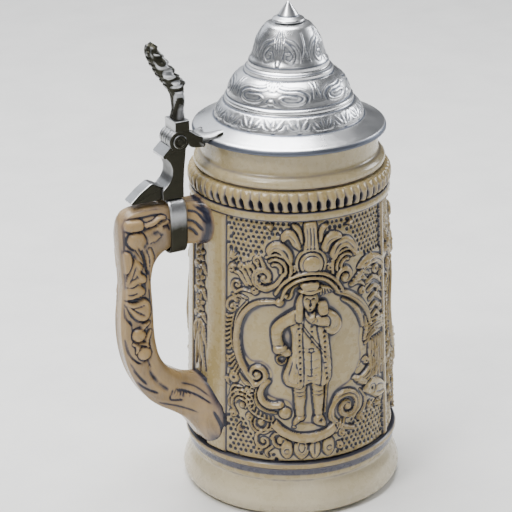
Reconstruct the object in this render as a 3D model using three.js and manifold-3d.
// Half-litre beer stein with a hinged pewter lid.
//
// Millimetres, +Z up. The origin is the centre of the whole stein's footprint, at the height
// of the foot. The handle points towards -X and the hinge pin runs along Y. Shapes seen from
// the side are drawn as (reach, height): reach is the distance from the mug's axis towards
// the handle. Front is -Y, back is +Y.

import * as THREE from 'three';
import { mergeVertices } from 'three/addons/utils/BufferGeometryUtils.js';
import Module from 'manifold-3d';

const wasm = await Module();
wasm.setup();

// ---------------------------------------------------------------- driving dimensions

const FOOT_RADIUS = 48.5;
const HANDLE_REACH = 82;
const AXIS_X = (HANDLE_REACH - FOOT_RADIUS) / 2;

const GAP = 0.3; // between pieces that touch
const ROUND_STEPS = 48; // steps round the mug and the lid

const RIM_HEIGHT = 162.5;
const RIM_RADIUS = 38;
const MOUTH_RADIUS = 34.4;
const CAVITY_RADIUS = 36.6;
const CAVITY_FLOOR = 9.5;

const HANDLE_WIDTH = 13.5;
const UPPER_ROOT_WIDTH = 26;
const LOWER_ROOT_WIDTH = 40;

const PIN_REACH = 53.5;
const PIN_HEIGHT = 165.6;
const PIN_RADIUS = 1.5;
const PIN_HOLE_RADIUS = 1.8;
const KNUCKLE_RADIUS = 4.6;
const KNUCKLE_COUNT = 5;
const KNUCKLE_GAP = 0.2;
const HINGE_WIDTH = 10.4;
const KNUCKLE_WIDTH = (HINGE_WIDTH - (KNUCKLE_COUNT - 1) * KNUCKLE_GAP) / KNUCKLE_COUNT;
const SWEEP_RADIUS = KNUCKLE_RADIUS + 0.5; // clear of the other leaf's knuckles
const CAP_RADIUS = 2.9;
const CAP_THICKNESS = 0.8;

const STRAP_REACH = 56;
const STRAP_WIDTH = 7.8;
const STRAP_THICKNESS = 1.4;
const STRAP_BOTTOM = 118.2;
const STRAP_TOP = 139.6;

const LID_EDGE_RADIUS = 41.2;
const LID_SEAT = RIM_HEIGHT + GAP;
const DOME_SEAT_RADIUS = 27.2;
const DOME_SEAT_HEIGHT = 175.5;
const STEM_RADIUS = 2;
const TIP_HEIGHT = 216.8;

// ---------------------------------------------------------------- materials

const stoneware = new THREE.MeshStandardMaterial({ color: 0xb9a679, roughness: 0.35, metalness: 0 });
const glazedHandle = new THREE.MeshStandardMaterial({ color: 0xa0855c, roughness: 0.4, metalness: 0 });
const brightPewter = new THREE.MeshStandardMaterial({ color: 0xb9bbbf, roughness: 0.35, metalness: 1 });
const agedPewter = new THREE.MeshStandardMaterial({ color: 0x6f7072, roughness: 0.45, metalness: 1 });
const steel = new THREE.MeshStandardMaterial({ color: 0x77777a, roughness: 0.4, metalness: 1 });

// ---------------------------------------------------------------- solids

// A three.js geometry as a closed solid: equal points are joined, empty triangles dropped.
function solid(geometry) {
  const bare = geometry.clone();
  bare.deleteAttribute('normal');
  bare.deleteAttribute('uv');
  const joined = mergeVertices(bare, 1e-4);
  const corners = joined.index.array;
  const kept = [];
  for (let i = 0; i < corners.length; i += 3) {
    const [a, b, c] = corners.slice(i, i + 3);
    if (a !== b && b !== c && c !== a) {
      kept.push(a, b, c);
    }
  }
  const vertProperties = new Float32Array(joined.attributes.position.array);
  const triVerts = new Uint32Array(kept);
  return new wasm.Manifold(new wasm.Mesh({ numProp: 3, vertProperties, triVerts }));
}

// A named mesh made from a solid.
function piece(name, shape, material) {
  const { vertProperties, triVerts } = shape.getMesh();
  const geometry = new THREE.BufferGeometry();
  geometry.setAttribute('position', new THREE.BufferAttribute(vertProperties, 3));
  geometry.setIndex(new THREE.BufferAttribute(triVerts, 1));
  geometry.computeVertexNormals();
  const mesh = new THREE.Mesh(geometry, material);
  mesh.name = name;
  return mesh;
}

// A solid turned round the mug's axis from a profile of [radius, height] points that ends on
// the axis or meets itself.
function turned(profile, steps = ROUND_STEPS) {
  const points = profile.map(([radius, height]) => new THREE.Vector2(radius, height));
  return solid(new THREE.LatheGeometry(points, steps).rotateX(Math.PI / 2));
}

// A solid turned from an outside and an inside profile, both given from bottom to top.
function turnedShell(outside, inside, steps = ROUND_STEPS) {
  return turned([...outside, ...inside.slice().reverse(), outside[0]], steps);
}

const sideToMug = new THREE.Matrix4().makeBasis(
  new THREE.Vector3(-1, 0, 0),
  new THREE.Vector3(0, 0, 1),
  new THREE.Vector3(0, 1, 0),
);

// A side outline, in (reach, height), as a slab from y = low to y = high with rounded edges.
function slab(outline, low, high, edge = 0, edgeSteps = 1) {
  const geometry = new THREE.ExtrudeGeometry(outline, {
    depth: high - low - 2 * edge,
    bevelEnabled: edge > 0,
    bevelThickness: edge,
    bevelSize: edge,
    bevelOffset: -edge,
    bevelSegments: edgeSteps,
    curveSegments: 8,
  });
  geometry.translate(0, 0, low + edge);
  return solid(geometry.applyMatrix4(sideToMug));
}

function outlineOf(points) {
  return new THREE.Shape(points.map(([reach, height]) => new THREE.Vector2(reach, height)));
}

// Points along the smooth curve through a list of points.
function smoothed(points) {
  const curve = new THREE.SplineCurve(points.map(([reach, height]) => new THREE.Vector2(reach, height)));
  return curve.getPoints(2 * (points.length - 1)).map((point) => [point.x, point.y]);
}

// A round bar or hole along the hinge pin's axis, from y = low to y = high.
function pinBar(radius, low, high, steps = 24) {
  const bar = new THREE.CylinderGeometry(radius, radius, high - low, steps);
  bar.translate(0, (low + high) / 2, 0);
  bar.translate(-PIN_REACH, 0, PIN_HEIGHT);
  return solid(bar);
}

// The y range of one hinge knuckle, counted from the front, with some room at each side.
function knuckleSpan(number, room = 0) {
  const low = -HINGE_WIDTH / 2 + number * (KNUCKLE_WIDTH + KNUCKLE_GAP);
  return [low - room, low + KNUCKLE_WIDTH + room];
}

// A hinge leaf: its knuckles are joined to a body that is cut clear of the other leaf's.
function hingeLeaf(body, ownKnuckles, otherKnuckles) {
  let leaf = body;
  for (const number of otherKnuckles) {
    leaf = leaf.subtract(pinBar(SWEEP_RADIUS, ...knuckleSpan(number, KNUCKLE_GAP)));
  }
  for (const number of ownKnuckles) {
    leaf = leaf.add(pinBar(KNUCKLE_RADIUS, ...knuckleSpan(number)));
  }
  return leaf.subtract(pinBar(PIN_HOLE_RADIUS, -HINGE_WIDTH, HINGE_WIDTH));
}

const FIXED_KNUCKLES = [0, 2, 4];
const LID_KNUCKLES = [1, 3];

// ---------------------------------------------------------------- ceramic

// The mug's outside, from the foot's bearing ring up to the rim.
const mugOutside = [
  [42.4, 0],
  [45.6, 0.8],
  [47.7, 2.6],
  [FOOT_RADIUS, 5.2],
  [48, 8.2],
  [46.8, 11.6],
  [45.2, 14.4],
  [44.6, 16],
  [45.8, 18.6],
  [46.3, 22.2],
  [47.1, 23.8],
  [46.2, 25.5],
  [42.8, 135.2],
  [43.2, 136.9],
  [42.4, 138.7],
  [43.4, 141],
  [43.4, 145],
  [42, 147.2],
  [40.8, 148.4],
  [41, 150.2],
  [39.6, 152.2],
  [RIM_RADIUS, 153.6],
  [RIM_RADIUS, 161.7],
  [RIM_RADIUS - 0.8, RIM_HEIGHT],
];

function steinBody() {
  const inside = [
    [0, CAVITY_FLOOR - 1],
    [CAVITY_RADIUS - 8, CAVITY_FLOOR],
    [CAVITY_RADIUS - 2, CAVITY_FLOOR + 2.5],
    [CAVITY_RADIUS, CAVITY_FLOOR + 8],
    [CAVITY_RADIUS - 0.6, 100],
    [MOUTH_RADIUS, 150],
    [MOUTH_RADIUS, 161.7],
    [MOUTH_RADIUS + 0.8, RIM_HEIGHT],
  ];
  const underside = [
    [0, 3],
    [36.5, 3],
    [38.6, 0],
  ];
  return turned([...underside, ...mugOutside, ...inside.slice().reverse()]);
}

// Everything inside the mug's outside, grown by the gap: what the handle must stay out of.
function mugEnvelope() {
  const grown = mugOutside.map(([radius, height]) => [radius + GAP, height]);
  return turned([[0, 0], ...grown, [0, RIM_HEIGHT]]);
}

// The handle seen from the side: a squared upper corner, a straight grip, a swept lower arm.
function handleOutline() {
  const outer = [
    [38, 138.2],
    [48, 138.6],
    [60, 138.9],
    [70, 139.3],
    [75.4, 138.8],
    [79.2, 136.4],
    [81, 132],
    [81.1, 124],
    [80.5, 112],
    [80.4, 104],
    [81.3, 96],
    [HANDLE_REACH, 88],
    [81.8, 80],
    [80.6, 72],
    [78.4, 64.5],
    [75, 57.5],
    [70.8, 51.5],
    [65.6, 47],
    [59.6, 43],
    [53.5, 38.5],
    [48.5, 32.5],
    [44.5, 28.6],
    [38, 27],
  ];
  const inner = [
    [38, 56.5],
    [45, 57],
    [51, 58.8],
    [57.4, 61.8],
    [62.2, 65.6],
    [65.2, 71],
    [66.5, 78],
    [67, 87],
    [67.2, 96],
    [67.6, 104],
    [66.6, 110.5],
    [64.2, 115.8],
    [60, 118.7],
    [52, 119.2],
    [38, 118.6],
  ];
  const buried = 24; // the ends run on, straight, into the mug's wall
  return outlineOf([
    [buried, outer[0][1]],
    ...smoothed(outer),
    [buried, outer.at(-1)[1]],
    [buried, inner[0][1]],
    ...smoothed(inner),
    [buried, inner.at(-1)[1]],
  ]);
}

// Seen from above, the handle's ends widen where they are luted to the mug.
function rootOutline(width, flare) {
  const grip = HANDLE_WIDTH / 2;
  const half = width / 2;
  const edge = [
    [50 + flare, grip - 2],
    [46 + flare, grip + 0.12 * (half - grip)],
    [42.5 + 0.6 * flare, grip + 0.5 * (half - grip)],
    [40 + 0.2 * flare, half - 0.6],
    [30, half],
  ];
  const mirrored = edge.map(([reach, side]) => [reach, -side]).reverse();
  return outlineOf([...edge, ...mirrored]);
}

function rootBlock(width, flare, low, high) {
  const geometry = new THREE.ExtrudeGeometry(rootOutline(width, flare), {
    depth: high - low,
    bevelEnabled: false,
  });
  return solid(geometry.rotateZ(Math.PI).translate(0, 0, low));
}

function handle() {
  const outline = handleOutline();
  const grip = slab(outline, -HANDLE_WIDTH / 2, HANDLE_WIDTH / 2, 4.5, 4);
  const wide = slab(outline, -LOWER_ROOT_WIDTH / 2, LOWER_ROOT_WIDTH / 2, 4, 3);
  const upperRoot = rootBlock(UPPER_ROOT_WIDTH, 0, 110, 145);
  const lowerRoot = rootBlock(LOWER_ROOT_WIDTH, 8, 20, 75);
  const roots = wide.intersect(upperRoot.add(lowerRoot));
  return grip.add(roots).subtract(mugEnvelope());
}

// ---------------------------------------------------------------- fixed metal

// The strap is a closed band round the handle's upper arm.
function handleStrap() {
  const loop = (half, low, high, corner) => {
    const shape = new THREE.Shape();
    shape.moveTo(-half + corner, low);
    shape.lineTo(half - corner, low);
    shape.absarc(half - corner, low + corner, corner, -Math.PI / 2, 0);
    shape.absarc(half - corner, high - corner, corner, 0, Math.PI / 2);
    shape.absarc(-half + corner, high - corner, corner, Math.PI / 2, Math.PI);
    shape.absarc(-half + corner, low + corner, corner, Math.PI, 1.5 * Math.PI);
    return shape;
  };
  const half = HANDLE_WIDTH / 2 + GAP;
  const wall = STRAP_THICKNESS;
  const band = loop(half + wall, STRAP_BOTTOM - wall, STRAP_TOP + wall, 4.4);
  band.holes.push(loop(half, STRAP_BOTTOM, STRAP_TOP, 3));
  const geometry = new THREE.ExtrudeGeometry(band, {
    depth: STRAP_WIDTH,
    bevelEnabled: false,
    curveSegments: 6,
  });
  // the band's outline is drawn across the arm, so its depth runs along the reach
  geometry.applyMatrix4(new THREE.Matrix4().makeBasis(
    new THREE.Vector3(0, 1, 0),
    new THREE.Vector3(0, 0, 1),
    new THREE.Vector3(1, 0, 0),
  ));
  return solid(geometry.translate(-STRAP_REACH - STRAP_WIDTH / 2, 0, 0));
}

// The post stands on the strap and carries three of the hinge's knuckles. A ledge on its
// outer side stops the lid, and a spur lies along the handle's upper arm.
function hingePost() {
  const foot = STRAP_TOP + STRAP_THICKNESS + GAP;
  const post = outlineOf([
    [50.2, 165],
    [50.4, 161],
    [51.6, 150],
    [52, foot],
    [61.6, foot],
    [61.8, 145.4],
    [60.2, 146.4],
    [57.8, 148.8],
    [56.8, 152.3],
    [57.4, 155.6],
    [60.2, 158],
    [60.6, 159.6],
    [57, 162.8],
  ]);
  const spur = outlineOf([
    [59.6, foot],
    [74.6, foot],
    [75.4, 142.4],
    [65.6, 148.8],
    [63.4, 147.8],
    [59.6, 146.2],
  ]);
  const width = HINGE_WIDTH / 2;
  const body = slab(post, -width, width, 0.4).add(slab(spur, -3.6, 3.6));
  return hingeLeaf(body, FIXED_KNUCKLES, LID_KNUCKLES);
}

function hingePin() {
  return pinBar(PIN_RADIUS, -HINGE_WIDTH / 2, HINGE_WIDTH / 2);
}

// A domed plug that hides one end of the pin. side is -1 at the front, 1 at the back.
function pinCap(side) {
  const face = HINGE_WIDTH / 2 + GAP / 2;
  const profile = [
    [0, 0],
    [CAP_RADIUS, 0],
    [CAP_RADIUS, 0.45 * CAP_THICKNESS],
    [0.72 * CAP_RADIUS, 0.85 * CAP_THICKNESS],
    [0, CAP_THICKNESS],
  ];
  const points = profile.map(([radius, height]) => new THREE.Vector2(radius, height));
  const cap = new THREE.LatheGeometry(points, 20);
  if (side < 0) {
    cap.rotateX(Math.PI);
  }
  return solid(cap.translate(-PIN_REACH, side * face, PIN_HEIGHT));
}

// ---------------------------------------------------------------- lid

// The flange rests on the mug's rim. A lip under it drops into the mouth, and a raised ring
// on it carries the dome.
const flangeTop = [
  [LID_EDGE_RADIUS, LID_SEAT],
  [LID_EDGE_RADIUS - 0.1, 163.8],
  [40.4, 165],
  [36, 166.9],
  [32.4, 168.4],
  [31.5, 169.2],
  [30.9, 171],
  [29, 173.8],
  [DOME_SEAT_RADIUS, DOME_SEAT_HEIGHT],
];

function lidRim() {
  const wall = 1.6;
  const under = [
    [MOUTH_RADIUS - 0.8, LID_SEAT],
    [MOUTH_RADIUS - 0.8, LID_SEAT - 3.3],
    [MOUTH_RADIUS - 2.2, LID_SEAT - 3.3],
    [MOUTH_RADIUS - 2.4, 165.6],
    [29.6, 167.8],
    [29.2, 170.4],
    [DOME_SEAT_RADIUS - wall, DOME_SEAT_HEIGHT - 1.7],
    [DOME_SEAT_RADIUS - wall, DOME_SEAT_HEIGHT],
  ];
  return turnedShell(flangeTop, under);
}

function lidDome() {
  const base = DOME_SEAT_HEIGHT + GAP;
  const outside = [
    [DOME_SEAT_RADIUS, base],
    [DOME_SEAT_RADIUS, 176.8],
    [26, 178.4],
    [25.5, 180.4],
    [24.4, 183],
    [22.6, 185.3],
    [20, 187.2],
    [18.8, 188],
    [18.6, 189.2],
    [17, 190.4],
    [16.9, 192.4],
    [15.4, 194.8],
    [14.4, 198.4],
    [13.8, 200.6],
    [12.4, 203.4],
    [10.8, 205.8],
    [8.5, 207.9],
    [STEM_RADIUS + GAP, 208.3],
  ];
  const inside = [
    [DOME_SEAT_RADIUS - 1.5, base],
    [24.2, 179.6],
    [22.4, 183],
    [19, 186],
    [16.6, 187.6],
    [15.2, 191.4],
    [13.4, 194.6],
    [12.2, 199.8],
    [10, 203.6],
    [7.6, 206.2],
    [STEM_RADIUS + GAP, 206.6],
  ];
  return turnedShell(outside, inside, 40);
}

// The finial's collar and cone, with a stem through the crown of the dome.
function finial() {
  return turned([
    [0, 204.6],
    [STEM_RADIUS, 204.6],
    [STEM_RADIUS, 208.3 + GAP],
    [7, 208.3 + GAP],
    [6.6, 209.6],
    [4.4, 210.6],
    [3.9, 211.6],
    [1.2, 215.6],
    [0.5, TIP_HEIGHT - 0.1],
    [0, TIP_HEIGHT],
  ], 24);
}

// What the lid's arm must stay out of: the flange grown by the gap.
function flangeEnvelope() {
  const grown = flangeTop.map(([radius, height]) => [radius + GAP, height + GAP]);
  return turned([[0, 150], [grown[0][0], 150], ...grown, [0, DOME_SEAT_HEIGHT + GAP]]);
}

// The arm of the lid carries two knuckles, a block for the thumblift and a forked tang that
// is soldered on the flange.
function lidShank() {
  const arm = outlineOf([
    [45.6, 167.2],
    [48.6, 169.6],
    [51, 169],
    [49.4, 165],
    [48, 161.8],
    [40.8, 161.2],
    [40.8, 167],
    [43.6, 166.2],
  ]);
  const block = outlineOf([
    [48.6, 169.4],
    [51, 168.6],
    [54.6, 168.8],
    [55.4, 170],
    [55.4, 174],
    [48.6, 174],
  ]);
  const tang = outlineOf([
    [43.6, -5.2],
    [43.6, 5.2],
    [38.6, 6.4],
    [35.4, 8.2],
    [34.4, 7.4],
    [37.4, 4.2],
    [38.8, 0],
    [37.4, -4.2],
    [34.4, -7.4],
    [35.4, -8.2],
    [38.6, -6.4],
  ]);
  const tangPrism = new THREE.ExtrudeGeometry(tang, { depth: 14, bevelEnabled: false });
  tangPrism.rotateZ(Math.PI).translate(0, 0, 160);
  const skin = flangeTop.map(([radius, height]) => [radius + 1.6, height + 1.6]);
  const tangSkin = turned([[0, 161.2], [skin[0][0] + 1, 161.2], ...skin, [0, 177]]);
  const width = HINGE_WIDTH / 2;
  const body = slab(arm, -width, width)
    .add(slab(block, -width, width))
    .add(solid(tangPrism).intersect(tangSkin))
    .subtract(flangeEnvelope());
  return hingeLeaf(body, LID_KNUCKLES, FIXED_KNUCKLES);
}

// The cast thumblift leans away from the lid, with a scalloped edge on the lid's side.
function thumblift() {
  const foot = 174 + GAP;
  const outer = [
    [55.4, foot],
    [54.4, 178.2],
    [54.3, 182.6],
    [56.6, 187.4],
    [60.2, 193],
    [64, 199.4],
    [65.4, 203.6],
    [64.8, 207],
    [62.6, 208.2],
  ];
  const inner = [
    [60.2, 206],
    [59.2, 202.8],
    [57.2, 201],
    [56, 198],
    [53.8, 196.4],
    [52.4, 193.4],
    [49.4, 191.4],
    [48.2, 188],
    [48.6, 183],
    [49, 178.4],
    [47.6, foot],
  ];
  return slab(outlineOf([...outer, ...inner]), -4.6, 4.6, 0.8);
}

// ---------------------------------------------------------------- the stein

const mug = new THREE.Group();
mug.add(piece('stein_body', steinBody(), stoneware));
mug.add(piece('handle', handle(), glazedHandle));
mug.add(piece('handle_strap', handleStrap(), agedPewter));
mug.add(piece('hinge_post', hingePost(), agedPewter));
mug.add(piece('hinge_pin', hingePin(), steel));
mug.add(piece('pin_cap_front', pinCap(-1), agedPewter));
mug.add(piece('pin_cap_back', pinCap(1), agedPewter));

const lid = new THREE.Group();
lid.add(piece('lid_rim', lidRim(), brightPewter));
lid.add(piece('lid_dome', lidDome(), brightPewter));
lid.add(piece('finial', finial(), brightPewter));
lid.add(piece('lid_shank', lidShank(), agedPewter));
lid.add(piece('thumblift', thumblift(), agedPewter));

const group = new THREE.Group();
group.add(mug, lid);
group.position.x = AXIS_X;
group.updateMatrixWorld(true);

export default group;
